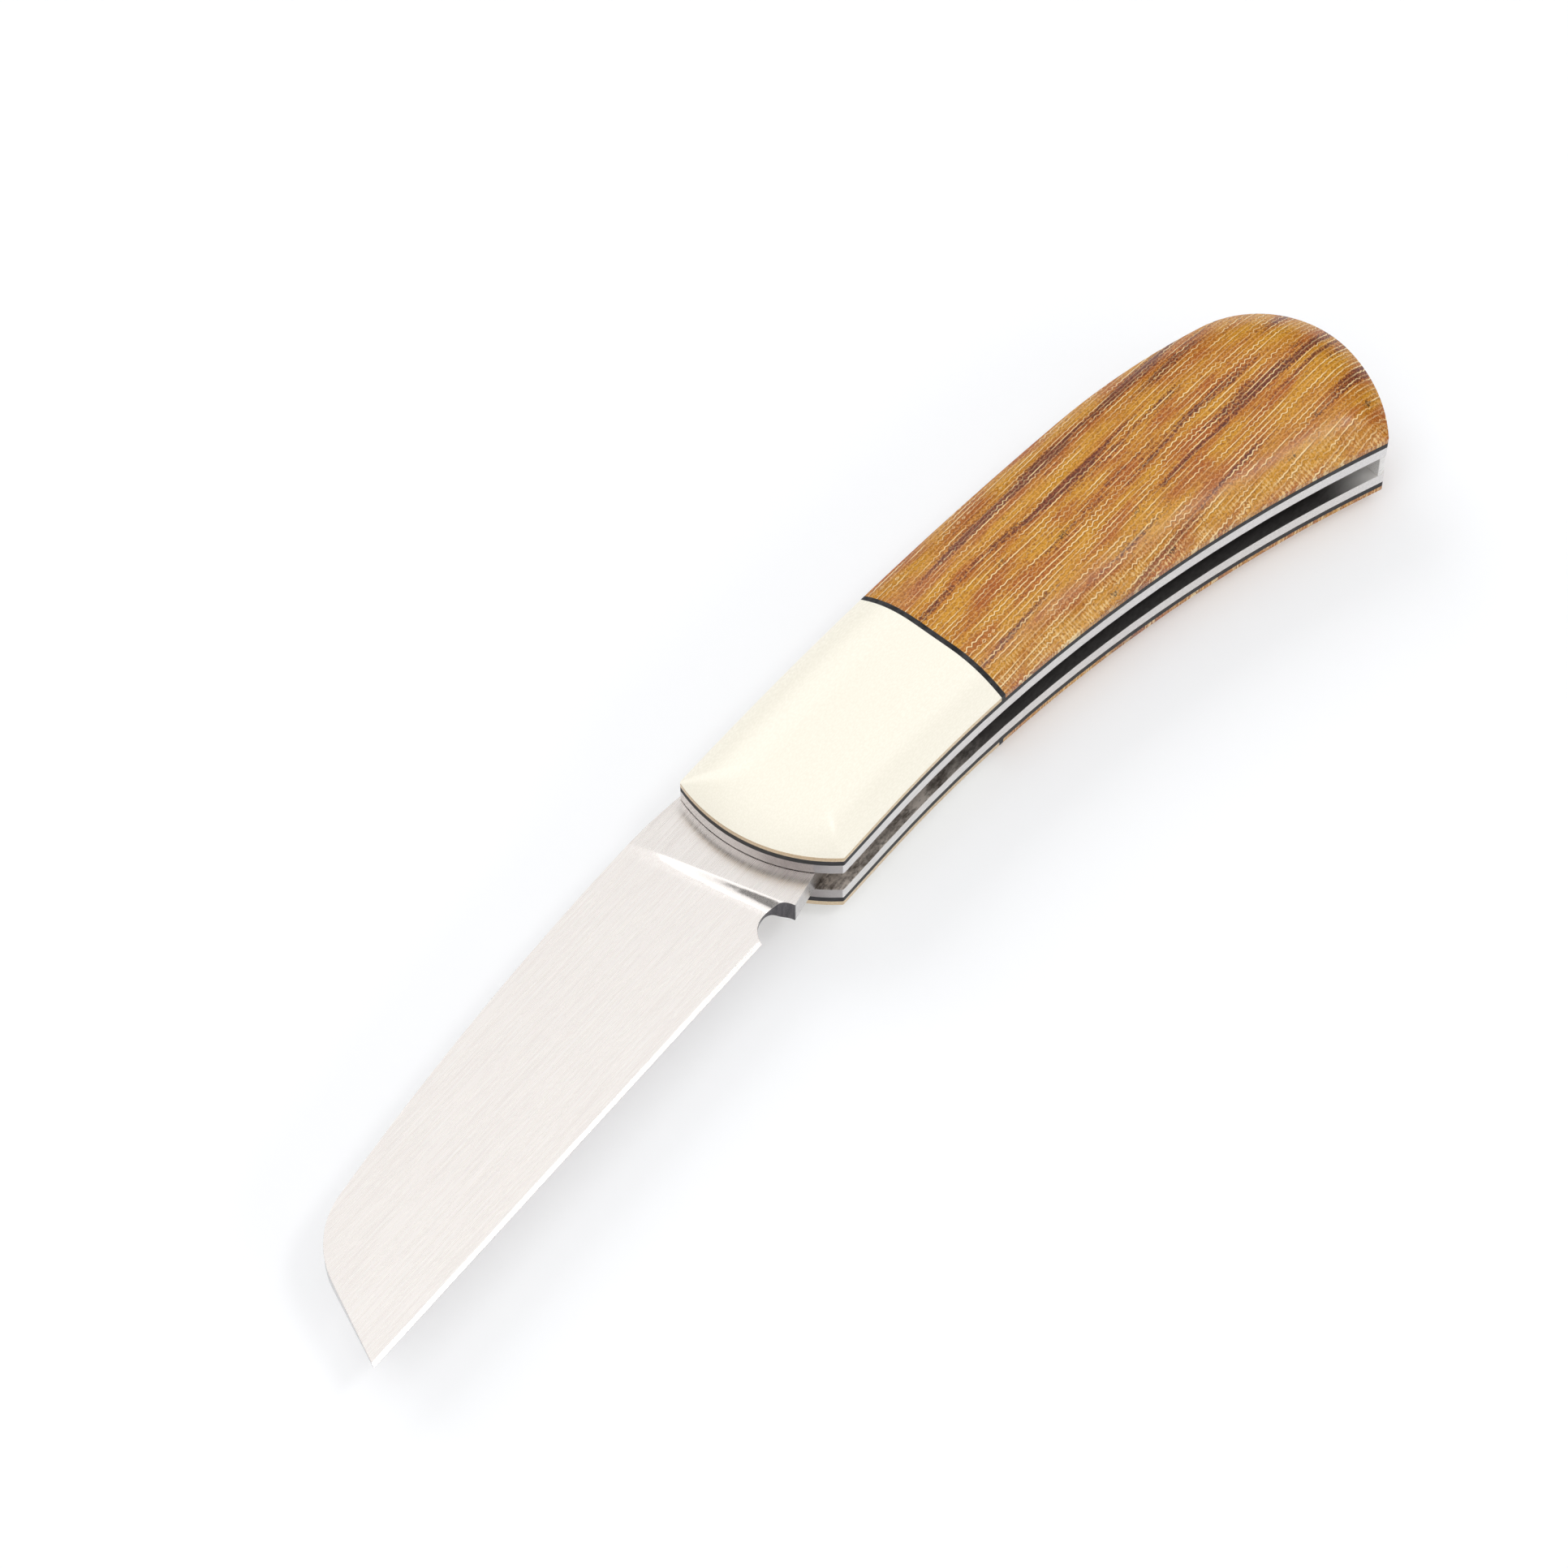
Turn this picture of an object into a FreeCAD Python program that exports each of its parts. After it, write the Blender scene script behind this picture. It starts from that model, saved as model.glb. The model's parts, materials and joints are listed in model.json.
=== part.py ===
import FreeCAD, Part
import math
import os
from FreeCAD import Vector

# Folding slip-joint pocket knife, open, lying on its lower side. All sizes in mm.
# +X runs from the tip to the butt, +Y from the edge to the back, +Z up through the plates.
# The plan is drawn about the pivot axis and moved at the end, so that the origin
# is under the middle of the open knife, on the surface that it lies on.

# Plates, from the blade outwards
blade_thickness = 3.1
washer_thickness = 0.1
washer_clearance = 0.02
liner_thickness = 1.6
spacer_thickness = 0.8
cover_thickness = 3.2
cover_wall = 0.7
cover_roll = 6.5
roll_shares = (0.0, 0.06, 0.25, 0.55, 0.85, 1.0)
roll_power = 2.1
corner_ease = 0.3
crown_corner_ease = 1.4

# Tang and spring, measured from the pivot axis
tang_seat = 5.73
spring_lift = 0.67
half_stop_angle = 5.0
closed_turn = 170.0
shoulder_ahead = 4.0
spring_seat_gap = 0.03
spring_stop_gap = 0.05
spring_front_height = 3.3
spring_height = 4.6
spring_seat_run = 1.2
spring_seat_round = 20.0
spring_corner_round = 4.0
spring_toe = 0.7
spring_toe_ease = 1.0
spring_wall_lean = 6.0
tip_clearance = 1.1

# Handle outline
front_reach = 6.0
front_radius = 17.6
front_rise = 3.2
back_run = 56.4
back_radius = 488.0
shoulder_radius = 79.8
shoulder_turn = 13.3
corner_radius = 11.35
corner_turn = 83.6
butt_radius = 17.0
belly_depth = 8.6
belly_start = 5.5
belly_radius = 171.5
bolster_reach = 22.1
divider_thickness = 0.55

# Blade outline and grind
kick_reach = 7.1
kick_proud = 0.28
choil_radius = 2.42
choil_below_edge = 0.66
hump_ahead = 13.0
hump_height = 0.68
spine_radius = 370.0
front_slope = 65.0
nose_radius = 9.0
edge_shoulder_thickness = 0.4
edge_bevel_height = 0.45
grind_runout = 0.25
plunge_width = 1.8
plunge_foot_share = 0.7
plunge_crest_share = 0.3
plunge_lip = 0.02
plunge_ahead = 9.1
plunge_lean = 14.6

# Pins, bushing, washers and dowels
pivot_pin_radius = 1.6
bushing_wall = 1.0
spring_pin_radius = 1.1
pin_head_flare = 0.6
pin_head_depth = 0.7
pin_fit = 0.02
running_fit = 0.03
washer_bore_fit = 0.05
washer_land = 2.2
dowel_radius = 0.8
dowel_bite = 1.5
dowel_end_gap = 0.1
centre_pin_share = 0.62
bolster_dowel_shares = ((0.62, 0.28), (0.62, -0.28))
scale_dowel_shares = ((0.2, -0.08), (0.8, 0.0))

overrun = 1.0
upright_share = 0.99

# Heights of the plates above the surface
well_width = blade_thickness + 2 * (washer_thickness + washer_clearance)
side_thickness = cover_thickness + spacer_thickness + liner_thickness
well_floor = side_thickness
well_roof = well_floor + well_width
mid_height = well_floor + well_width / 2
top_height = well_roof + side_thickness

# Heights in plan that follow from the tang
spring_underside = tang_seat + spring_seat_gap
back_height = spring_underside + spring_front_height
hump_top = back_height + hump_height
cam_radius = tang_seat + spring_lift
closed_slope = math.radians(180.0 - closed_turn)
kick_drop = (tang_seat + kick_reach * math.sin(closed_slope)) / math.cos(closed_slope)
edge_drop = kick_drop - kick_proud
edge_shoulder_y = edge_bevel_height - edge_drop
closed_kick_x = kick_reach * math.cos(closed_slope) + kick_drop * math.sin(closed_slope)


def outward(heading):
    """Unit vector across a path that heads this many radians below +X."""
    return Vector(math.sin(heading), math.cos(heading), 0)


# Centres of the arcs of the handle outline, each tangent to the one before it
back_heading = math.asin(back_run / back_radius)
shoulder_heading = back_heading + math.radians(shoulder_turn)
corner_heading = shoulder_heading + math.radians(corner_turn)
front_centre = Vector(front_radius - front_reach, front_rise, 0)
back_centre = Vector(-front_reach, back_height - back_radius, 0)
shoulder_centre = back_centre + outward(back_heading) * (back_radius - shoulder_radius)
corner_centre = shoulder_centre + outward(shoulder_heading) * (shoulder_radius - corner_radius)
butt_centre = corner_centre + outward(corner_heading) * (corner_radius - butt_radius)
belly_centre = Vector(belly_start, -belly_depth - belly_radius, 0)


def circles_meet(centre_a, radius_a, centre_b, radius_b, side):
    """Point where two circles meet, on the left (1) or right (-1) going from a to b."""
    across = centre_b - centre_a
    gap = across.Length
    along = (gap ** 2 + radius_a ** 2 - radius_b ** 2) / (2 * gap)
    rise = math.sqrt(radius_a ** 2 - along ** 2)
    unit = across / gap
    left = Vector(-unit.y, unit.x, 0)
    return centre_a + unit * along + left * (rise * side)


def handle_nose(inset):
    """Front top corner of the handle, on the outline drawn in by inset."""
    return circles_meet(front_centre, front_radius - inset, back_centre, back_radius - inset, -1)


def handle_chin(inset):
    """Front lower corner of the handle, on the outline drawn in by inset."""
    level = inset - belly_depth
    reach = math.sqrt((front_radius - inset) ** 2 - (level - front_rise) ** 2)
    return Vector(front_centre.x - reach, level, 0)


def handle_toe(inset):
    """Lower corner of the butt, on the outline drawn in by inset."""
    return circles_meet(butt_centre, butt_radius - inset, belly_centre, belly_radius + inset, 1)


def towards(centre, point, radius):
    """Point of a circle, on the way from its centre to another point."""
    way = point - centre
    return centre + way * (radius / way.Length)


def arc(centre, start, end):
    """Arc under half a turn round a centre."""
    radius = (start - centre).Length
    middle = (start - centre) + (end - centre)
    middle.normalize()
    return Part.Arc(start, centre + middle * radius, end).toShape()


def line(start, end):
    return Part.LineSegment(start, end).toShape()


def prism(edges, bottom, height):
    """Solid of a closed plan outline, from a level upwards."""
    solid = Part.Face(Part.Wire(edges)).extrude(Vector(0, 0, height))
    solid.translate(Vector(0, 0, bottom))
    return solid


def handle_edges(inset, ease):
    """Handle outline drawn in by inset, its corners eased, from the nose round the butt."""
    nose_eye = handle_nose(inset + ease)
    chin_eye = handle_chin(inset + ease)
    toe_eye = handle_toe(inset + ease)
    nose_back = towards(back_centre, nose_eye, back_radius - inset)
    nose_front = towards(front_centre, nose_eye, front_radius - inset)
    chin_front = towards(front_centre, chin_eye, front_radius - inset)
    chin_belly = Vector(chin_eye.x, inset - belly_depth, 0)
    belly_begin = Vector(belly_start, inset - belly_depth, 0)
    toe_belly = towards(belly_centre, toe_eye, belly_radius + inset)
    toe_butt = towards(butt_centre, toe_eye, butt_radius - inset)
    back_end = back_centre + outward(back_heading) * (back_radius - inset)
    shoulder_end = corner_centre + outward(shoulder_heading) * (corner_radius - inset)
    corner_end = corner_centre + outward(corner_heading) * (corner_radius - inset)
    return [
        arc(back_centre, nose_back, back_end),
        arc(shoulder_centre, back_end, shoulder_end),
        arc(corner_centre, shoulder_end, corner_end),
        arc(butt_centre, corner_end, toe_butt),
        arc(toe_eye, toe_butt, toe_belly),
        arc(belly_centre, toe_belly, belly_begin),
        line(belly_begin, chin_belly),
        arc(chin_eye, chin_belly, chin_front),
        arc(front_centre, chin_front, nose_front),
        arc(nose_eye, nose_front, nose_back),
    ]


def back_level(x):
    """Height of the handle's back at x, ahead of the butt's corner arc."""
    back_end_x = back_centre.x + back_run
    centre, radius = back_centre, back_radius
    if x > back_end_x:
        centre, radius = shoulder_centre, shoulder_radius
    return centre.y + math.sqrt(radius ** 2 - (x - centre.x) ** 2)


def belly_level(x):
    """Height of the handle's belly at x."""
    if x < belly_start:
        return -belly_depth
    return belly_centre.y + math.sqrt(belly_radius ** 2 - (x - belly_start) ** 2)


def handle_place(x, width_share):
    """Point at x, off the handle's middle line by a share of its width there."""
    top = back_level(x)
    bottom = belly_level(x)
    return Vector(x, (top + bottom) / 2 + (top - bottom) * width_share, 0)


# Butt of the well and the blade that it takes
toe_corner = handle_toe(0)
butt_reach = corner_centre.x + corner_radius
if corner_heading < math.pi / 2:
    butt_reach = butt_centre.x + butt_radius
wall_foot = Vector(toe_corner.x - spring_toe, belly_level(toe_corner.x - spring_toe), 0)
wall_slope = math.tan(math.radians(spring_wall_lean))
tip_room = wall_foot.x - tip_clearance - edge_drop * math.sin(closed_slope)
tip_room += (edge_drop * math.cos(closed_slope) - wall_foot.y) * wall_slope
blade_reach = tip_room / (math.cos(closed_slope) + math.sin(closed_slope) * wall_slope)

# Places of the pins and dowels
bushing_radius = pivot_pin_radius + pin_fit + bushing_wall
washer_bore = bushing_radius + washer_bore_fit
centre_pin_x = back_run * centre_pin_share
centre_pin_place = Vector(centre_pin_x, back_level(centre_pin_x) - spring_height / 2, 0)
end_pin_y = corner_centre.y
end_pin_wall_x = wall_foot.x + (end_pin_y - wall_foot.y) * wall_slope
end_pin_place = Vector((end_pin_wall_x + corner_centre.x + corner_radius) / 2, end_pin_y, 0)
scale_reach = bolster_reach + divider_thickness
scale_length = butt_reach - scale_reach
bolster_dowel_places = [handle_place(bolster_reach * x, y) for x, y in bolster_dowel_shares]
scale_dowel_places = [handle_place(scale_reach + scale_length * x, y) for x, y in scale_dowel_shares]


def cylinder(place, radius, bottom, height):
    return Part.makeCylinder(radius, height, Vector(place.x, place.y, bottom))


def flipped(shape):
    """The same piece on the lower side of the knife."""
    return shape.mirror(Vector(0, 0, mid_height), Vector(0, 0, 1))


def round_corner(solid, x, y, radius):
    """Round the upright edge that is nearest to a point in plan."""
    upright = [e for e in solid.Edges if abs(e.tangentAt(e.FirstParameter).z) > upright_share]
    at = Vector(x, y, 0)
    edge = min(upright, key=lambda e: (Vector(e.Vertexes[0].X, e.Vertexes[0].Y, 0) - at).Length)
    return solid.makeFillet(radius, [edge])


def cam_point(angle, side):
    """End of a tang flat that faces this angle, where the cam round begins."""
    half_width = math.sqrt(cam_radius ** 2 - tang_seat ** 2)
    facing = Vector(math.cos(angle), math.sin(angle), 0)
    along = Vector(-facing.y, facing.x, 0)
    return facing * tang_seat + along * (half_width * side)


def blade_blank():
    """Blade and tang cut from plate, before grinding, about its middle plane."""
    centre = Vector(0, 0, 0)
    half_stop = math.radians(half_stop_angle)
    closed = closed_slope - math.pi / 2
    stop_top = Vector(-shoulder_ahead, back_height, 0)
    stop_foot = Vector(-shoulder_ahead, tang_seat, 0)
    hump = Vector(-hump_ahead, hump_top, 0)
    ramp_run = hump_ahead - shoulder_ahead
    ramp_radius = (ramp_run ** 2 + hump_height ** 2) / (2 * hump_height)
    ramp_centre = Vector(-hump_ahead, hump_top - ramp_radius, 0)
    spine_centre = Vector(-hump_ahead, hump_top - spine_radius, 0)
    tip = Vector(-blade_reach, -edge_drop, 0)
    rise = Vector(math.cos(math.radians(front_slope)), math.sin(math.radians(front_slope)), 0)
    to_spine = spine_centre - tip
    along = to_spine.dot(rise)
    nose = tip + rise * (along + math.sqrt(spine_radius ** 2 - to_spine.dot(to_spine) + along ** 2))
    kick = Vector(-kick_reach, -kick_drop, 0)
    choil_half = math.sqrt(choil_radius ** 2 - (choil_below_edge - kick_proud) ** 2)
    choil = Vector(-kick_reach - choil_half, -edge_drop - choil_below_edge, 0)
    over_choil = Vector(choil.x, -edge_drop, 0)
    edges = [
        line(stop_top, stop_foot),
        line(stop_foot, cam_point(math.pi / 2, -1)),
        arc(centre, cam_point(math.pi / 2, -1), cam_point(half_stop, 1)),
        line(cam_point(half_stop, 1), cam_point(half_stop, -1)),
        arc(centre, cam_point(half_stop, -1), cam_point(closed, 1)),
        line(cam_point(closed, 1), kick),
        line(kick, over_choil),
        line(over_choil, tip),
        line(tip, nose),
        arc(spine_centre, nose, hump),
        arc(ramp_centre, hump, stop_top),
    ]
    blank = prism(edges, -blade_thickness / 2, blade_thickness)
    blank = round_corner(blank, nose.x, nose.y, nose_radius)
    through = blade_thickness + 2 * overrun
    return blank.cut(cylinder(choil, choil_radius, -through / 2, through))


def grind_section(y):
    """Cross section of the grind at a level in plan: flat bevel, then a hollow step up to the tang."""
    share = (y - edge_shoulder_y) / (hump_top + grind_runout - edge_shoulder_y)
    thickness = edge_shoulder_thickness + (blade_thickness - edge_shoulder_thickness) * share
    foot_x = -plunge_ahead - (y - edge_shoulder_y) * math.tan(math.radians(plunge_lean))
    far_x = -blade_reach - overrun
    foot = Vector(foot_x, y, thickness / 2)
    crest = Vector(foot_x + plunge_width, y, blade_thickness / 2 + plunge_lip)
    foot_bend = Vector(plunge_width * plunge_foot_share, 0, 0)
    crest_bend = Vector(plunge_width * plunge_crest_share, 0, 0)
    step = Part.BezierCurve()
    step.setPoles([foot, foot + foot_bend, crest - crest_bend, crest])
    corners = [
        crest,
        Vector(crest.x, y, blade_thickness),
        Vector(far_x, y, blade_thickness),
        Vector(far_x, y, foot.z),
        foot,
    ]
    return Part.Wire([step.toShape()] + [line(a, b) for a, b in zip(corners, corners[1:])])


def grind_path():
    """Room over the upper face that the grind takes: a flat bevel with a plunge that fades out."""
    sections = [grind_section(-kick_drop - overrun), grind_section(hump_top + grind_runout / 2)]
    return Part.makeLoft(sections, True, True)


def sharpening_path():
    """Room over the narrow bevel that brings the upper face down to the edge."""
    start_x = -blade_reach - overrun
    below = -edge_drop - overrun
    corners = [
        Vector(start_x, -edge_drop, 0),
        Vector(start_x, edge_shoulder_y, edge_shoulder_thickness / 2),
        Vector(start_x, edge_shoulder_y, blade_thickness),
        Vector(start_x, below, blade_thickness),
        Vector(start_x, below, 0),
    ]
    face = Part.Face(Part.makePolygon(corners + corners[:1]))
    return face.extrude(Vector(blade_reach + overrun - kick_reach - choil_radius, 0, 0))


def blade():
    solid = blade_blank()
    for path in (grind_path(), sharpening_path()):
        solid = solid.cut(path)
        solid = solid.cut(path.mirror(Vector(0, 0, 0), Vector(0, 0, 1)))
    through = blade_thickness + 2 * overrun
    bore = cylinder(Vector(0, 0, 0), bushing_radius + running_fit, -through / 2, through)
    solid = solid.cut(bore)
    solid.translate(Vector(0, 0, mid_height))
    return solid


def rivet(place, radius, fit):
    """Pin across the liners with a countersunk head at each end, grown by a fit."""
    bottom = well_floor - liner_thickness
    height = well_width + 2 * liner_thickness
    top = bottom + height
    at = Vector(place.x, place.y, 0)
    shank = cylinder(at, radius + fit, bottom, height)
    wide = radius + pin_head_flare + fit
    low = Part.makeCone(wide, radius + fit, pin_head_depth, at + Vector(0, 0, bottom))
    high = Part.makeCone(radius + fit, wide, pin_head_depth, at + Vector(0, 0, top - pin_head_depth))
    return shank.fuse([low, high]).removeSplitter()


def backspring():
    """Spring that fills the back and the butt of the well."""
    front_x = spring_stop_gap - shoulder_ahead
    seat_end_x = closed_kick_x + spring_seat_run
    belly = Vector(centre_pin_x, back_level(centre_pin_x) - spring_height, 0)
    rear_y = corner_centre.y + corner_radius - spring_height
    rear_x = wall_foot.x + (rear_y - wall_foot.y) * wall_slope
    toe_x = wall_foot.x - overrun * wall_slope
    roof = hump_top + overrun
    seat_end = Vector(seat_end_x, spring_underside, 0)
    rear = Vector(rear_x, rear_y, 0)
    corners = [
        rear,
        Vector(toe_x, wall_foot.y - overrun, 0),
        Vector(butt_reach + overrun, wall_foot.y - overrun, 0),
        Vector(butt_reach + overrun, roof, 0),
        Vector(front_x, roof, 0),
        Vector(front_x, spring_underside, 0),
        seat_end,
    ]
    edges = [line(a, b) for a, b in zip(corners, corners[1:])]
    edges.append(Part.Arc(seat_end, belly, rear).toShape())
    solid = prism(edges, well_floor, well_width)
    solid = round_corner(solid, seat_end.x, seat_end.y, spring_seat_round)
    solid = round_corner(solid, rear.x, rear.y, spring_corner_round)
    solid = solid.common(prism(handle_edges(0, spring_toe_ease), well_floor, well_width))
    for place in (centre_pin_place, end_pin_place):
        solid = solid.cut(rivet(place, spring_pin_radius, pin_fit))
    return solid


def dowel_holes(places):
    """Rooms for blind dowels on the upper side, from the well into the covers."""
    height = liner_thickness + spacer_thickness + dowel_bite + dowel_end_gap
    return [cylinder(place, dowel_radius + pin_fit, well_roof, height) for place in places]


def liner():
    solid = prism(handle_edges(0, corner_ease), well_roof, liner_thickness)
    solid = solid.cut(rivet(Vector(0, 0, 0), pivot_pin_radius, pin_fit))
    for place in (centre_pin_place, end_pin_place):
        solid = solid.cut(rivet(place, spring_pin_radius, pin_fit))
    for hole in dowel_holes(bolster_dowel_places + scale_dowel_places):
        solid = solid.cut(hole)
    return solid


def spacer():
    solid = prism(handle_edges(0, corner_ease), well_roof + liner_thickness, spacer_thickness)
    for hole in dowel_holes(bolster_dowel_places + scale_dowel_places):
        solid = solid.cut(hole)
    return solid


def cover_slab():
    """Whole cover of the upper side: a low wall, then a crown that rolls off all round."""
    base = well_roof + liner_thickness + spacer_thickness
    crown_rise = cover_thickness - cover_wall
    sections = []
    for share in roll_shares:
        level = base + cover_wall + crown_rise * (1 - (1 - share) ** roll_power)
        ease = corner_ease + crown_corner_ease * math.sqrt(share)
        wire = Part.Wire(handle_edges(cover_roll * share, ease))
        wire.translate(Vector(0, 0, level))
        sections.append(wire)
    crown = Part.makeLoft(sections, True, False)
    return prism(handle_edges(0, corner_ease), base, cover_wall).fuse(crown).removeSplitter()


def cover_piece(slab, start_x, end_x):
    """Stretch of the cover between two cross cuts."""
    span = back_height + belly_depth + butt_radius + overrun
    corner = Vector(start_x, -span, well_roof)
    stretch = Part.makeBox(end_x - start_x, 2 * span, top_height - well_roof + overrun, corner)
    return slab.common(stretch)


def dowels(places):
    """Blind dowels on the upper side, one solid for each place."""
    bottom = well_roof + dowel_end_gap
    height = liner_thickness + spacer_thickness + dowel_bite - dowel_end_gap
    return Part.makeCompound([cylinder(p, dowel_radius, bottom, height) for p in places])


def washer():
    """Thin washer against the upper liner, round the bushing."""
    bottom = well_roof - washer_thickness
    disc = cylinder(Vector(0, 0, 0), washer_bore + washer_land, bottom, washer_thickness)
    hole_height = washer_thickness + 2 * overrun
    return disc.cut(cylinder(Vector(0, 0, 0), washer_bore, bottom - overrun, hole_height))


def bushing():
    """Sleeve that the liners clamp, with the pivot pin through it."""
    sleeve = cylinder(Vector(0, 0, 0), bushing_radius, well_floor, well_width)
    hole_height = well_width + 2 * overrun
    bore = cylinder(Vector(0, 0, 0), pivot_pin_radius + pin_fit, well_floor - overrun, hole_height)
    return sleeve.cut(bore)


def all_pieces():
    slab = cover_slab()
    for hole in dowel_holes(bolster_dowel_places + scale_dowel_places):
        slab = slab.cut(hole)
    side = {
        "liner": liner(),
        "spacer": spacer(),
        "bolster": cover_piece(slab, -front_reach - overrun, bolster_reach),
        "divider": cover_piece(slab, bolster_reach, scale_reach),
        "scale": cover_piece(slab, scale_reach, butt_reach + overrun),
        "washer": washer(),
        "bolster_dowels": dowels(bolster_dowel_places),
        "scale_dowels": dowels(scale_dowel_places),
    }
    pieces = {
        "blade": blade(),
        "backspring": backspring(),
        "pivot_pin": rivet(Vector(0, 0, 0), pivot_pin_radius, 0),
        "pivot_bushing": bushing(),
        "spring_centre_pin": rivet(centre_pin_place, spring_pin_radius, 0),
        "spring_end_pin": rivet(end_pin_place, spring_pin_radius, 0),
    }
    for name, shape in side.items():
        pieces["mark_" + name] = shape
        pieces["pile_" + name] = flipped(shape)
    return pieces


os.makedirs("parts", exist_ok=True)
middle_x = (butt_reach - blade_reach) / 2
middle_y = (hump_top + handle_toe(corner_ease).y - corner_ease) / 2
for node, piece in all_pieces().items():
    piece.translate(Vector(-middle_x, -middle_y, 0))
    piece.exportStep("parts/" + node + ".step")
    print(node, len(piece.Solids), piece.isValid(), round(piece.Volume, 2))
print("pivot axis at", round(-middle_x, 4), round(-middle_y, 4))
print("top at", round(top_height, 4), "blade reach", round(blade_reach, 3))
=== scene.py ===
import json
import math

import bpy
from mathutils import Matrix, Vector


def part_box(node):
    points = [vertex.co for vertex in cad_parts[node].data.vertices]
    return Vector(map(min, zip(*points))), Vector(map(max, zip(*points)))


# Looks of a folding pocket knife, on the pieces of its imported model. Metres, in the model's frame.
# Patterns in the materials are worked out in millimetres.

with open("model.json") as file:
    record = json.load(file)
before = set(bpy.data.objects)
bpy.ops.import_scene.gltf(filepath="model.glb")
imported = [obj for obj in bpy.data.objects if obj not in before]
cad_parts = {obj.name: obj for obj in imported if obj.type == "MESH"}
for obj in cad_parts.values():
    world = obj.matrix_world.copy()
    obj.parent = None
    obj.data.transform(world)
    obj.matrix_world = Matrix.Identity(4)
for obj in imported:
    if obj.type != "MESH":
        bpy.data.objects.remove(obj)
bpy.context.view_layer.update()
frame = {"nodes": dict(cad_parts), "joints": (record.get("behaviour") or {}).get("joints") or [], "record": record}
MM = 0.001

# Camera, at the angle of the photograph
image_pixels = 1932
focal_pixels = 8827
sensor_width = 36.0
camera_elevation = math.radians(61.0)
camera_heading = math.radians(51.0)
camera_distance = 0.7
camera_aim = Vector((0.05, 8.36, 7.27)) * MM

# Floor, which looks whiter the further it is from the knife
floor_size = 6.0
floor_drop = 0.05 * MM
floor_colour = (0.767, 0.776, 0.793, 1.0)
floor_glow = 0.25
glow_start = 0.25
glow_end = 0.9
white = (1.0, 1.0, 1.0, 1.0)

# Light from all round, by the height that it comes from
sky_low = 0.25
sky_high = 0.8
sky_low_light = 0.22
sky_high_light = 0.63

# Soft boxes
lamps = {
    "overhead": dict(place=(0.15, -0.1, 0.8), aim=(0.15, -0.1, 0), size=(0.9, 0.7), radiance=0.4),
    "tip": dict(place=(-0.53, 0.0, 0.64), aim=(0, 0, 0), size=(0.5, 0.82), radiance=0.85),
    "side": dict(place=(0.135, -0.32, 0.79), aim=(0.135, -0.32, 0), size=(0.23, 0.14), radiance=8.0),
    "back": dict(place=(0.1, 0.85, 0.65), aim=(0, 0, 0), size=(0.8, 0.8), radiance=1.7),
    "front": dict(place=(0.1, -0.85, 0.45), aim=(0, 0, 0), size=(0.9, 0.5), radiance=1.3),
}

# Places on the knife, in mm
pivot = Vector(frame["joints"][0]["pos_m"]) / MM
choil_from_pivot = Vector((-9.49, -7.45, 0))
choil_centre = pivot + choil_from_pivot
choil_reach = 2.6
choil_fade = 0.1
scale_front_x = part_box("mark_scale")[0].x / MM
butt_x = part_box("mark_scale")[1].x / MM

# Where a colour begins to change and where it has changed, in mm, painted light and shade among them
liner_dark_x = (scale_front_x - 12, scale_front_x + 2)
# Painted light on the liners' inner faces at the butt
liner_butt_light_x = (butt_x - 13, butt_x - 4)
# Painted shade down the liners' front edges, towards the belly
liner_front_shade_y = (pivot.y + 6, pivot.y - 5)
# Painted light round the spring's butt
spring_butt_light_x = (butt_x - 12, butt_x - 5)
streaks_thicken_x = (scale_front_x + 10, scale_front_x + 50)

# Strokes on the steel, in mm
blade_stroke_length = 7.0
plate_stroke_length = 4.0
stroke_width = 0.08
stroke_depth = 0.00015
across_strokes = (0, 1, 0)
stroke_stretch = 0.5
cloud_share = 0.2
roughness_spread = 0.03

# Streaks in the laminate, in mm
streak_length = 26.0
streak_width = 1.5
shade_length = 8.0
shade_width = 2.0

# Relief of the other surfaces, in mm
weave_depth = 0.0015
ivory_depth = 0.0001
fibre_depth = 0.002

# Edges look a little rounded to the light, by a radius in mm
edge_round = 0.06
edge_samples = 4


def srgb(red, green, blue):
    """Linear colour of an 8-bit screen colour."""
    shares = [value / 255 for value in (red, green, blue)]
    return tuple(s / 12.92 if s <= 0.04045 else ((s + 0.055) / 1.055) ** 2.4 for s in shares) + (1.0,)


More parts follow.
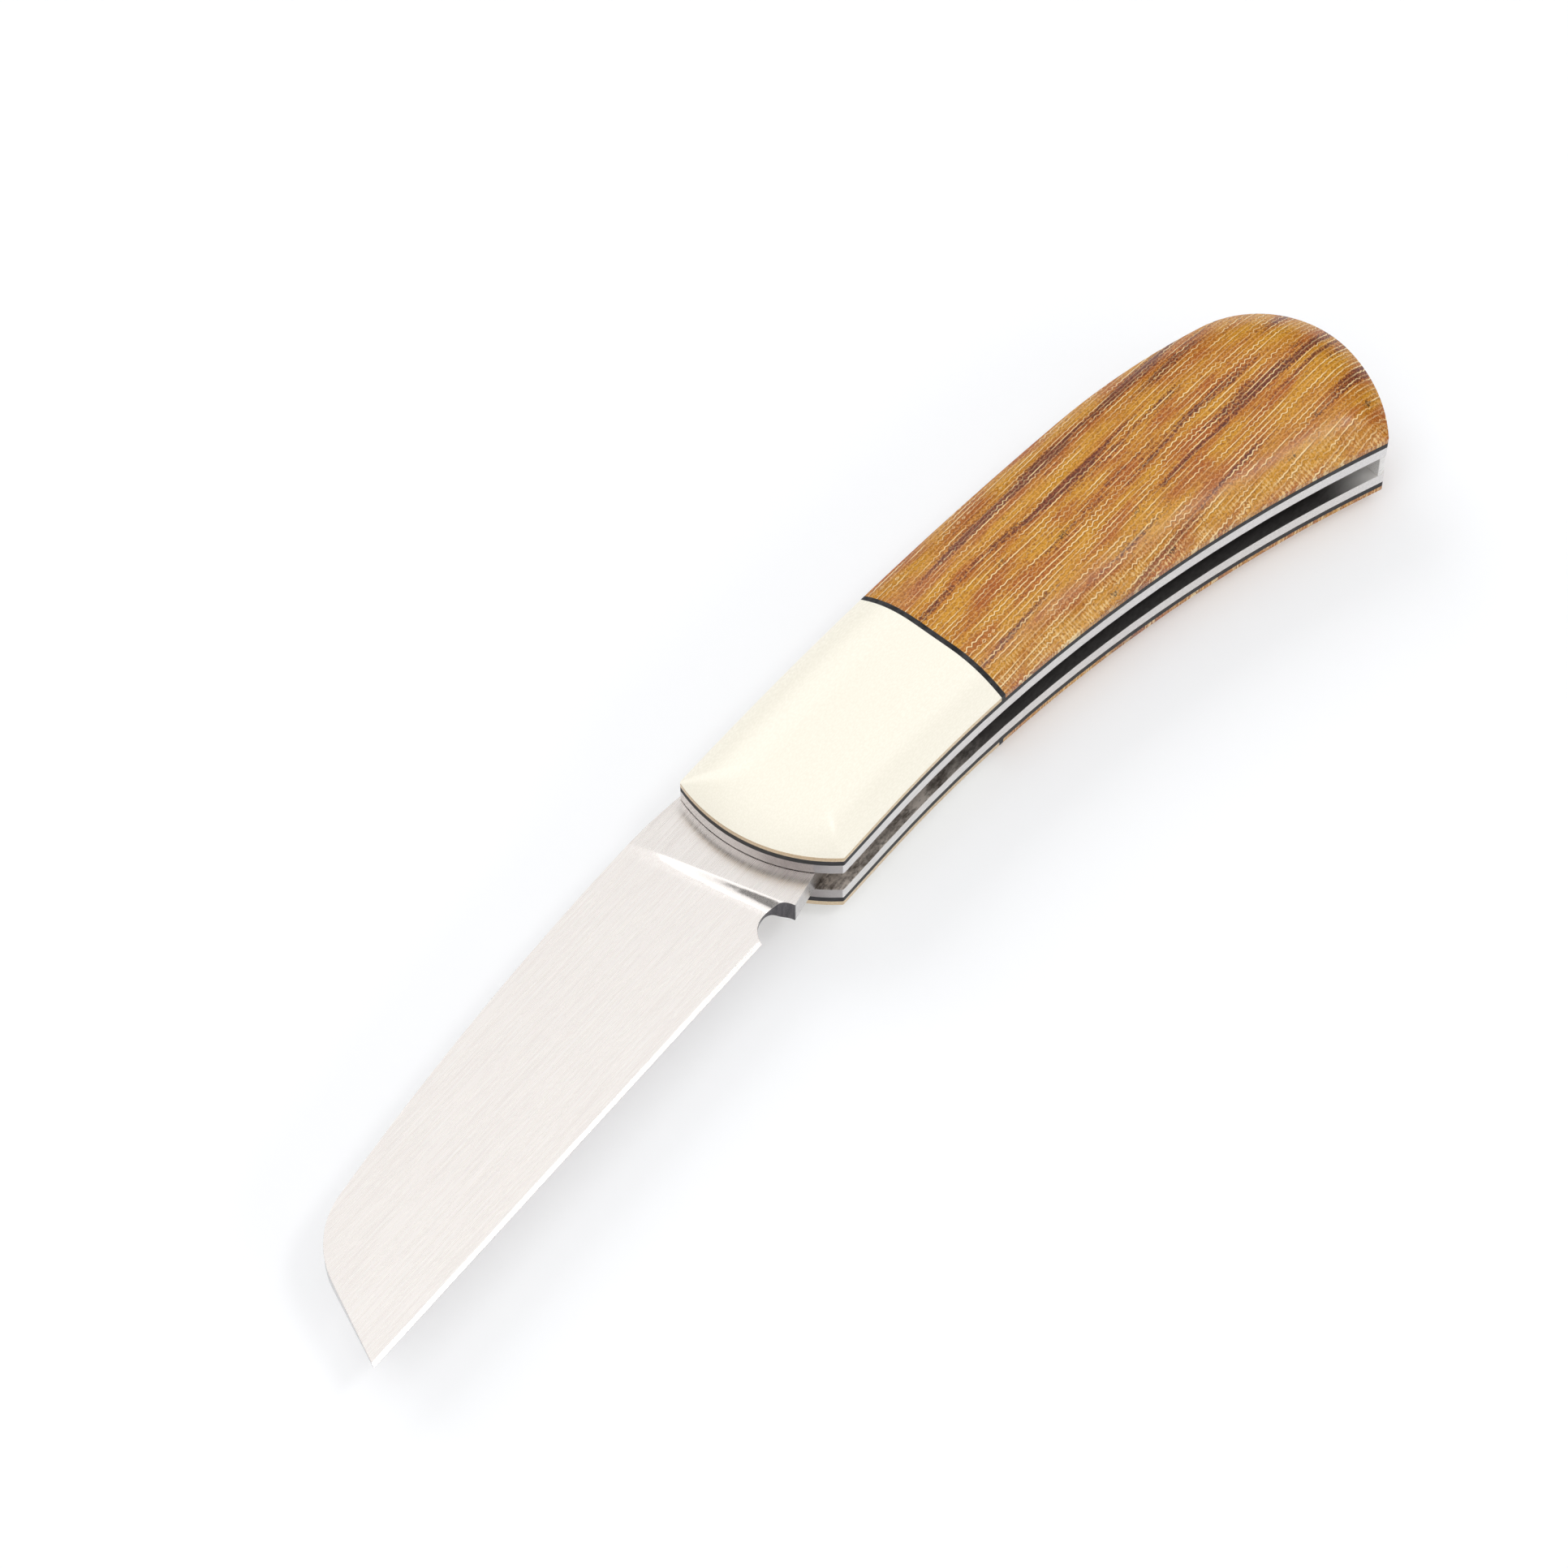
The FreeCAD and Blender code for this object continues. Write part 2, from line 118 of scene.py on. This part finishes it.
class Look:
    """A material, with short ways to add nodes to it."""

    def __init__(self, name):
        self.material = bpy.data.materials.new(name)
        self.material.use_nodes = True
        self.nodes = self.material.node_tree.nodes
        self.links = self.material.node_tree.links
        self.shader = self.nodes["Principled BSDF"]

    def feed(self, socket, value):
        """Link a socket to another, or set its value."""
        if isinstance(value, bpy.types.NodeSocket):
            self.links.new(value, socket)
        else:
            socket.default_value = value

    def set(self, **values):
        """Feed sockets of the shader, named with underscores."""
        sockets = {socket.name.lower().replace(" ", "_"): socket for socket in self.shader.inputs}
        for name, value in values.items():
            self.feed(sockets[name], value)

    def math(self, operation, *values):
        node = self.nodes.new("ShaderNodeMath")
        node.operation = operation
        for socket, value in zip(node.inputs, values):
            self.feed(socket, value)
        return node.outputs[0]

    def times(self, first, second):
        return self.math("MULTIPLY", first, second)

    def plus(self, first, second):
        return self.math("ADD", first, second)

    def minus(self, first, second):
        return self.math("SUBTRACT", first, second)

    def millimetres(self):
        """Place on the piece in millimetres, which moves with it."""
        place = self.nodes.new("ShaderNodeTexCoord")
        scaled = self.nodes.new("ShaderNodeVectorMath")
        scaled.operation = "SCALE"
        self.links.new(place.outputs["Object"], scaled.inputs[0])
        scaled.inputs["Scale"].default_value = 1 / MM
        return scaled.outputs[0]

    def facing(self):
        """Direction that the face looks in, in X, Y and Z."""
        return self.split(self.nodes.new("ShaderNodeTexCoord").outputs["Normal"])

    def flat_share(self, wall=0.5, flat=0.9):
        """1 on faces that look straight up or down the plates, 0 on their walls."""
        return self.ramp(self.math("ABSOLUTE", self.facing()[2]), wall, flat)

    def stretched(self, vector, scale):
        """Vector scaled along its axes, which draws a pattern out where the scale is small."""
        node = self.nodes.new("ShaderNodeMapping")
        self.links.new(vector, node.inputs["Vector"])
        node.inputs["Scale"].default_value = scale
        return node.outputs[0]

    def split(self, vector):
        node = self.nodes.new("ShaderNodeSeparateXYZ")
        self.links.new(vector, node.inputs[0])
        return node.outputs[0], node.outputs[1], node.outputs[2]

    def join(self, x, y, z):
        node = self.nodes.new("ShaderNodeCombineXYZ")
        for socket, value in zip(node.inputs, (x, y, z)):
            self.feed(socket, value)
        return node.outputs[0]

    def noise(self, vector, scale=1.0, detail=2.0, roughness=0.5):
        node = self.nodes.new("ShaderNodeTexNoise")
        self.links.new(vector, node.inputs["Vector"])
        node.inputs["Scale"].default_value = scale
        node.inputs["Detail"].default_value = detail
        node.inputs["Roughness"].default_value = roughness
        return node.outputs[0]

    def spots(self, vector):
        """Distance to the nearest of some scattered points, one in each whole-numbered cell."""
        node = self.nodes.new("ShaderNodeTexVoronoi")
        self.links.new(vector, node.inputs["Vector"])
        node.inputs["Scale"].default_value = 1.0
        return node.outputs["Distance"]

    def chance(self, vector):
        """Even random number for each whole-numbered vector."""
        node = self.nodes.new("ShaderNodeTexWhiteNoise")
        self.links.new(vector, node.inputs["Vector"])
        return node.outputs["Value"]

    def ramp(self, value, low, high, start=0.0, end=1.0):
        """Value eased from one level to another between two bounds."""
        node = self.nodes.new("ShaderNodeMapRange")
        node.interpolation_type = "SMOOTHSTEP"
        for socket, number in zip(node.inputs, (value, low, high, start, end)):
            self.feed(socket, number)
        return node.outputs[0]

    def mix(self, share, first, second):
        """Colour between two colours, whose sockets share their names with others and go by number."""
        node = self.nodes.new("ShaderNodeMix")
        node.data_type = "RGBA"
        self.feed(node.inputs["Factor"], share)
        self.feed(node.inputs[6], first)
        self.feed(node.inputs[7], second)
        return node.outputs[2]

    def relief(self, height, depth):
        """Fine relief, of a depth in mm, on edges that are eased."""
        edge = self.nodes.new("ShaderNodeBevel")
        edge.samples = edge_samples
        edge.inputs["Radius"].default_value = edge_round * MM
        node = self.nodes.new("ShaderNodeBump")
        self.links.new(edge.outputs[0], node.inputs["Normal"])
        self.links.new(height, node.inputs["Height"])
        node.inputs["Distance"].default_value = depth * MM
        self.links.new(node.outputs[0], self.shader.inputs["Normal"])

    def brushed(self, direction, share):
        """Stretch highlights across strokes, along a direction that turns with the piece."""
        turn = self.nodes.new("ShaderNodeVectorTransform")
        turn.vector_type = "VECTOR"
        turn.convert_from = "OBJECT"
        turn.convert_to = "WORLD"
        turn.inputs[0].default_value = direction
        self.set(anisotropic=share, tangent=turn.outputs[0])


# Pale and dark tone of plain steel
plain_steel = (srgb(224, 222, 220), srgb(206, 204, 202))


def steel(name, pale, dark, roughness, stroke_length=plate_stroke_length):
    """Satin steel rubbed along X. Gives the look, the place on it and its colour, to build on."""
    look = Look(name)
    place = look.millimetres()
    strokes = look.noise(look.stretched(place, (1 / stroke_length, 1 / stroke_width, 1 / stroke_width)))
    clouds = look.noise(place, scale=0.12)
    tone = look.plus(look.times(clouds, cloud_share), look.times(strokes, 1 - cloud_share))
    colour = look.mix(look.ramp(tone, 0.35, 0.65), dark, pale)
    look.set(base_color=colour, metallic=1.0)
    smooth = roughness - roughness_spread
    rough = roughness + roughness_spread
    look.set(roughness=look.ramp(strokes, 0.3, 0.7, smooth, rough))
    look.brushed(across_strokes, stroke_stretch)
    look.relief(strokes, stroke_depth)
    return look, place, colour


def blade_steel():
    """Satin blade: walls greyer than the flats, and painted shade darkening the notch at the heel."""
    pale = srgb(240, 235, 231)
    dark = srgb(236, 230, 226)
    look, place, colour = steel("blade_steel", pale, dark, 0.28, blade_stroke_length)
    x, y = look.split(place)[:2]
    off_x = look.minus(x, choil_centre.x)
    off_y = look.minus(y, choil_centre.y)
    gap = look.math("SQRT", look.plus(look.times(off_x, off_x), look.times(off_y, off_y)))
    wall_mottle = look.noise(look.stretched(place, (3.0, 3.0, 0.4)))
    wall = look.mix(wall_mottle, srgb(190, 188, 188), srgb(216, 213, 212))
    # Painted shade: the notch at the heel darkened to a mottled dark grey
    notch_shade = look.mix(wall_mottle, srgb(40, 39, 42), srgb(106, 102, 106))
    wall = look.mix(look.ramp(gap, choil_reach, choil_reach - choil_fade), wall, notch_shade)
    look.set(base_color=look.mix(look.flat_share(0.2, 0.4), wall, colour))
    return look.material


def liner_steel():
    """Satin plate: pale edges, with painted shade darkening the front edges towards the belly; inside mottled,
    then dark, then painted light at the butt.
    """
    edge_roughness = 0.27
    inside_roughness = 0.45
    pale = srgb(232, 230, 229)
    dark = srgb(216, 214, 213)
    look, place, colour = steel("liner_steel", pale, dark, edge_roughness)
    x, y = look.split(place)[:2]
    patches = look.noise(look.stretched(place, (0.5, 1.0, 1.0)), detail=5.0, roughness=0.7)
    specks = look.noise(look.stretched(place, (1.6, 4.0, 4.0)))
    worn = look.mix(look.ramp(patches, 0.3, 0.65), srgb(110, 101, 94), srgb(238, 229, 220))
    worn = look.mix(look.ramp(specks, 0.5, 0.72, 0.0, 0.6), worn, srgb(84, 77, 72))
    deep = look.mix(specks, srgb(78, 75, 74), srgb(116, 113, 112))
    inside = look.mix(look.ramp(x, *liner_dark_x), worn, deep)
    # Painted light at the butt end of the inner faces: paler and less metallic there
    painted_butt_light = look.ramp(x, *liner_butt_light_x)
    inside = look.mix(painted_butt_light, inside, srgb(246, 244, 241))
    # Painted shade on the front edges, darker towards the belly and broken by patches
    lower = look.math("MULTIPLY_ADD", look.minus(patches, 0.5), 0.4, look.ramp(y, *liner_front_shade_y))
    front_edge_shade = look.mix(lower, srgb(214, 210, 208), srgb(134, 127, 126))
    edge = look.mix(look.ramp(look.facing()[0], -0.5, -0.95), colour, front_edge_shade)
    flat = look.flat_share()
    look.set(base_color=look.mix(flat, edge, inside))
    look.set(roughness=look.ramp(flat, 0, 1, edge_roughness, inside_roughness))
    look.set(metallic=look.minus(1.0, look.times(look.times(flat, painted_butt_light), 0.9)))
    return look.material


def spring_steel():
    """Satin spring, with painted light round its butt, where it is paler and less metallic."""
    look, place, colour = steel("spring_steel", *plain_steel, 0.3)
    # Painted light round the butt: paler and less metallic there
    painted_butt_light = look.ramp(look.split(place)[0], *spring_butt_light_x)
    look.set(base_color=look.mix(painted_butt_light, colour, srgb(240, 238, 235)))
    look.set(metallic=look.minus(1.0, look.times(painted_butt_light, 0.8)))
    return look.material


def pin_steel():
    """Drawn pin stock."""
    return steel("pin_steel", *plain_steel, 0.25)[0].material


class Weave:
    """Cloth layers that stand on edge: warp runs along the handle, weft runs up through it.

    Lengths are in mm. Values that end in cells count warps or wefts, and layer_step is the step through
    a noise from one layer to the next.
    """

    lay_slope = 0.042
    layer_pitch = 0.5
    layer_jitter = 0.12
    layer_step = 3.1
    wander_reach = 1.2
    warp_pitch = 0.62
    warp_half_cells = 0.6
    warp_start_cells = 5.0
    warp_drift_cells = 1.4
    drift_length = 11.0
    weft_pitch = 0.4
    weft_half_cells = 0.25
    weft_start_cells = 9.0
    weft_slip_cells = 2.2
    slip_length = 1.3
    swing = 0.085
    swing_length = 3.0
    yarn_half = 0.065
    weft_stroke_half = 4 * yarn_half
    shade_aside = -1.5 * yarn_half
    dry_length = 5.0
    fray_length = 1.5

    def __init__(self, look, place):
        self.look = look
        self.along, across, upward = look.split(place)
        across = look.math("MULTIPLY_ADD", self.along, self.lay_slope, across)
        wander = look.noise(look.stretched(place, (0.05, 0.12, 0.1)))
        self.across = look.math("MULTIPLY_ADD", wander, self.wander_reach, across)
        self.layer, middle = self.cells(look.math("DIVIDE", self.across, self.layer_pitch))
        luck = look.chance(look.join(self.layer, 3.0, 7.0))
        shift = look.times(look.minus(luck, 0.5), self.layer_jitter)
        self.off_layer = look.math("MULTIPLY_ADD", middle, self.layer_pitch, shift)
        drift = self.strand_noise(self.drift_length, seed=0.0)
        rise = look.math("DIVIDE", upward, self.warp_pitch)
        rise = look.math("MULTIPLY_ADD", luck, self.warp_start_cells, rise)
        self.rise = look.math("MULTIPLY_ADD", drift, self.warp_drift_cells, rise)
        slip = self.strand_noise(self.slip_length, seed=4.0)
        stride = look.math("DIVIDE", self.along, self.weft_pitch)
        stride = look.math("MULTIPLY_ADD", luck, self.weft_start_cells, stride)
        self.stride = look.math("MULTIPLY_ADD", slip, self.weft_slip_cells, stride)
        self.warp, self.off_warp = self.cells(self.rise)
        self.weft, self.off_weft = self.cells(self.stride)
        ease = self.strand_noise(self.swing_length, seed=8.0)
        self.reach = look.ramp(ease, 0.38, 0.76, 0.1 * self.swing, 1.5 * self.swing)

    def cells(self, value):
        """Whole number of the cell that a value is in, and how far off its middle it is."""
        cell = self.look.math("FLOOR", value)
        return cell, self.look.minus(self.look.minus(value, cell), 0.5)

    def strand_noise(self, length, seed):
        """Noise along the handle that differs from layer to layer."""
        look = self.look
        apart = look.times(self.layer, self.layer_step)
        return look.noise(look.join(look.times(self.along, 1 / length), apart, seed), detail=1.0)

    def yarn(self, steps, other, off_middle, way, half_thickness, half_width, aside=0.0):
        """1 in a yarn that swings over and under the yarns that cross it."""
        look = self.look
        wave = look.math("SINE", look.times(look.plus(steps, other), math.pi))
        swing = look.math("MULTIPLY_ADD", look.times(wave, self.reach), way, aside)
        thick = look.math("DIVIDE", look.minus(self.off_layer, swing), half_thickness)
        wide = look.math("DIVIDE", off_middle, half_width)
        spread = look.plus(look.times(thick, thick), look.times(wide, wide))
        return look.ramp(spread, 1.6, 0.3)

    def warp_yarn(self, aside=0.0):
        half_width = self.warp_half_cells
        return self.yarn(self.stride, self.warp, self.off_warp, 1.0, self.yarn_half, half_width, aside)

    def warp_shade(self):
        """Dark line along one side of the warp."""
        return self.warp_yarn(self.shade_aside)

    def weft_strokes(self):
        """Weft, as the broken short strokes that a steep cut leaves of it."""
        half_width = self.weft_half_cells
        weft = self.yarn(self.rise, self.weft, self.off_weft, -1.0, self.weft_stroke_half, half_width)
        fray = self.look.ramp(self.strand_noise(self.fray_length, seed=6.0), 0.4, 0.6)
        return self.look.times(weft, fray)

    def dry(self):
        """1 on stretches of warp that stayed pale in the resin."""
        return self.look.ramp(self.strand_noise(self.dry_length, seed=2.0), 0.38, 0.66)

    def streaks(self, length, width, seed):
        """Noise in streaks along the layers."""
        look = self.look
        along = look.times(self.along, 1 / length)
        across = look.times(self.across, 1 / width)
        return look.noise(look.join(along, across, seed))


def cloth_laminate():
    """Amber resin with layers of woven cloth on edge, dark streaks between them and a few knots."""
    look = Look("cloth_laminate")
    place = look.millimetres()
    weave = Weave(look, place)
    warp = weave.warp_yarn()
    pale = weave.dry()
    grain = look.noise(place, scale=4.5, detail=3.0, roughness=0.7)
    speckle = look.minus(grain, 0.5)
    belly = look.ramp(look.facing()[1], -0.3, -0.6)
    rear = look.math("MULTIPLY_ADD", weave.across, 2.0, weave.along)
    thicken = look.ramp(rear, *streaks_thicken_x, -0.02, 0.06)
    dark = look.plus(weave.streaks(streak_length, streak_width, seed=11.0), thicken)
    shade = weave.streaks(shade_length, shade_width, seed=5.0)
    tone = look.math("MULTIPLY_ADD", shade, 0.7, look.times(dark, -0.4))
    resin = look.mix(look.ramp(tone, 0.02, 0.28), srgb(174, 92, 20), srgb(206, 144, 26))
    resin = look.mix(look.ramp(grain, 0.52, 0.32, 0.0, 0.8), resin, srgb(134, 68, 18))
    resin = look.mix(look.ramp(grain, 0.52, 0.72, 0.0, 0.8), resin, srgb(226, 166, 72))
    hatch = look.times(look.times(weave.weft_strokes(), belly), 0.85)
    cloth = look.mix(hatch, resin, srgb(240, 200, 130))
    streak = look.ramp(look.math("MULTIPLY_ADD", speckle, -0.3, dark), 0.58, 0.68)
    stain = look.mix(look.ramp(grain, 0.42, 0.66), srgb(88, 35, 22), srgb(148, 76, 40))
    # Fewer dark streaks on faces that look towards the belly, a painted highlight there
    cloth = look.mix(look.times(streak, look.ramp(belly, 0, 1, 0.9, 0.45)), cloth, stain)
    side = look.times(weave.warp_shade(), look.ramp(pale, 0, 1, 0.1, 0.5))
    cloth = look.mix(side, cloth, srgb(122, 70, 24))
    thread = look.times(warp, look.ramp(pale, 0, 1, 0.25, 0.95))
    cloth = look.mix(thread, cloth, srgb(248, 220, 166))
    knot = look.spots(look.stretched(place, (0.16, 0.28, 0.28)))
    knot = look.math("MULTIPLY_ADD", speckle, 0.5, knot)
    cloth = look.mix(look.ramp(knot, 0.12, 0.0, 0.0, 0.85), cloth, srgb(62, 44, 24))
    look.set(base_color=cloth)
    look.set(roughness=look.ramp(grain, 0.3, 0.7, 0.22, 0.3))
    look.relief(warp, weave_depth)
    return look.material


def ivory():
    """Polished ivory laminate with a faint grain; its walls tan, partly the colour of the layers and partly
    painted shade.
    """
    look = Look("ivory_resin")
    place = look.millimetres()
    grain = look.noise(look.stretched(place, (3.0, 9.0, 9.0)))
    layers = look.noise(look.stretched(place, (0.05, 0.05, 5.0)))
    top = look.mix(look.ramp(grain, 0.2, 0.8), srgb(254, 249, 233), srgb(255, 250, 235))
    # Tan walls, partly the colour of the layers and partly painted shade
    wall = look.mix(look.ramp(layers, 0.35, 0.65), srgb(218, 188, 146), srgb(238, 214, 178))
    look.set(base_color=look.mix(look.flat_share(0.3, 0.8), wall, top))
    look.set(roughness=look.ramp(grain, 0.3, 0.7, 0.24, 0.3))
    look.relief(grain, ivory_depth)
    return look.material


def black_fibre():
    """Black fibre sheet, greyed where it was buffed."""
    look = Look("black_fibre")
    place = look.millimetres()
    grain = look.noise(look.stretched(place, (0.8, 0.8, 4.0)), detail=4.0)
    look.set(base_color=look.mix(look.ramp(grain, 0.35, 0.7), srgb(34, 34, 36), srgb(64, 64, 66)))
    look.set(roughness=look.ramp(grain, 0.3, 0.7, 0.42, 0.54), specular_ior_level=0.15)
    look.relief(grain, fibre_depth)
    return look.material


def bronze():
    """Plain bronze, a little uneven."""
    look = Look("bronze")
    clouds = look.noise(look.millimetres(), scale=0.8, detail=3.0)
    look.set(base_color=look.mix(clouds, srgb(176, 124, 62), srgb(206, 156, 88)))
    look.set(metallic=1.0, roughness=look.ramp(clouds, 0.3, 0.7, 0.28, 0.36))
    return look.material


def dress(materials):
    """Give each node the material of its slot."""
    for part in frame["record"]["subparts"]:
        node = frame["nodes"][part["node"]]
        node.data.materials.clear()
        node.data.materials.append(materials[part["material_slot"]])


def add_floor():
    """Pale floor that keeps the shadow, and that the camera and reflections see as white further off."""
    half = floor_size / 2
    corners = [(-half, -half, 0), (half, -half, 0), (half, half, 0), (-half, half, 0)]
    mesh = bpy.data.meshes.new("floor")
    mesh.from_pydata(corners, [], [(0, 1, 2, 3)])
    floor = bpy.data.objects.new("floor", mesh)
    floor.location.z = -floor_drop
    bpy.context.scene.collection.objects.link(floor)
    look = Look("floor")
    look.set(base_color=floor_colour, roughness=1.0, specular_ior_level=0.0)
    path = look.nodes.new("ShaderNodeLightPath")
    seen = look.math("MAXIMUM", path.outputs["Is Camera Ray"], path.outputs["Is Glossy Ray"])
    seen = look.math("MAXIMUM", seen, path.outputs["Is Transmission Ray"])
    place = look.nodes.new("ShaderNodeTexCoord")
    distance = look.nodes.new("ShaderNodeVectorMath")
    distance.operation = "LENGTH"
    look.links.new(place.outputs["Object"], distance.inputs[0])
    glow = look.ramp(distance.outputs["Value"], glow_start, glow_end, floor_glow, 1.0)
    look.set(emission_color=white, emission_strength=look.times(seen, glow))
    mesh.materials.append(look.material)


def add_world():
    """Soft light that falls off to the horizon, white where the camera looks past the floor."""
    world = bpy.data.worlds.new("studio")
    world.use_nodes = True
    nodes = world.node_tree.nodes
    links = world.node_tree.links
    place = nodes.new("ShaderNodeTexCoord")
    height = nodes.new("ShaderNodeSeparateXYZ")
    links.new(place.outputs["Generated"], height.inputs[0])
    level = nodes.new("ShaderNodeMapRange")
    links.new(height.outputs["Z"], level.inputs["Value"])
    level.inputs["From Min"].default_value = sky_low
    level.inputs["From Max"].default_value = sky_high
    level.inputs["To Min"].default_value = sky_low_light
    level.inputs["To Max"].default_value = sky_high_light
    path = nodes.new("ShaderNodeLightPath")
    seen = nodes.new("ShaderNodeMath")
    seen.operation = "MAXIMUM"
    links.new(level.outputs[0], seen.inputs[0])
    links.new(path.outputs["Is Camera Ray"], seen.inputs[1])
    background = nodes["Background"]
    background.inputs["Color"].default_value = white
    links.new(seen.outputs[0], background.inputs["Strength"])
    bpy.context.scene.world = world


def add_lamps():
    """Soft boxes round the knife."""
    for name, lamp in lamps.items():
        data = bpy.data.lights.new(name, "AREA")
        data.shape = "RECTANGLE"
        data.size, data.size_y = lamp["size"]
        data.energy = lamp["radiance"] * math.pi * data.size * data.size_y
        box = bpy.data.objects.new(name, data)
        box.location = lamp["place"]
        away = Vector(lamp["place"]) - Vector(lamp["aim"])
        box.rotation_euler = away.to_track_quat("Z", "Y").to_euler()
        bpy.context.scene.collection.objects.link(box)


def add_camera():
    """Camera without roll, at the place that the photograph was taken from."""
    level = math.cos(camera_elevation)
    ahead = Vector((
        math.sin(camera_heading) * level,
        math.cos(camera_heading) * level,
        -math.sin(camera_elevation),
    ))
    right = Vector((math.cos(camera_heading), -math.sin(camera_heading), 0))
    turn = Matrix((right, right.cross(ahead), -ahead)).transposed()
    data = bpy.data.cameras.new("camera")
    data.sensor_width = sensor_width
    data.lens = sensor_width * focal_pixels / image_pixels
    camera = bpy.data.objects.new("camera", data)
    camera.matrix_world = Matrix.Translation(camera_aim - ahead * camera_distance) @ turn.to_4x4()
    bpy.context.scene.collection.objects.link(camera)
    bpy.context.scene.camera = camera


dress({
    "blade_steel": blade_steel(),
    "spring_steel": spring_steel(),
    "liner_steel": liner_steel(),
    "pin_steel": pin_steel(),
    "bronze": bronze(),
    "black_fibre": black_fibre(),
    "ivory_resin": ivory(),
    "cloth_laminate": cloth_laminate(),
})
add_floor()
add_world()
add_lamps()
add_camera()
bpy.context.scene.view_settings.view_transform = "Standard"
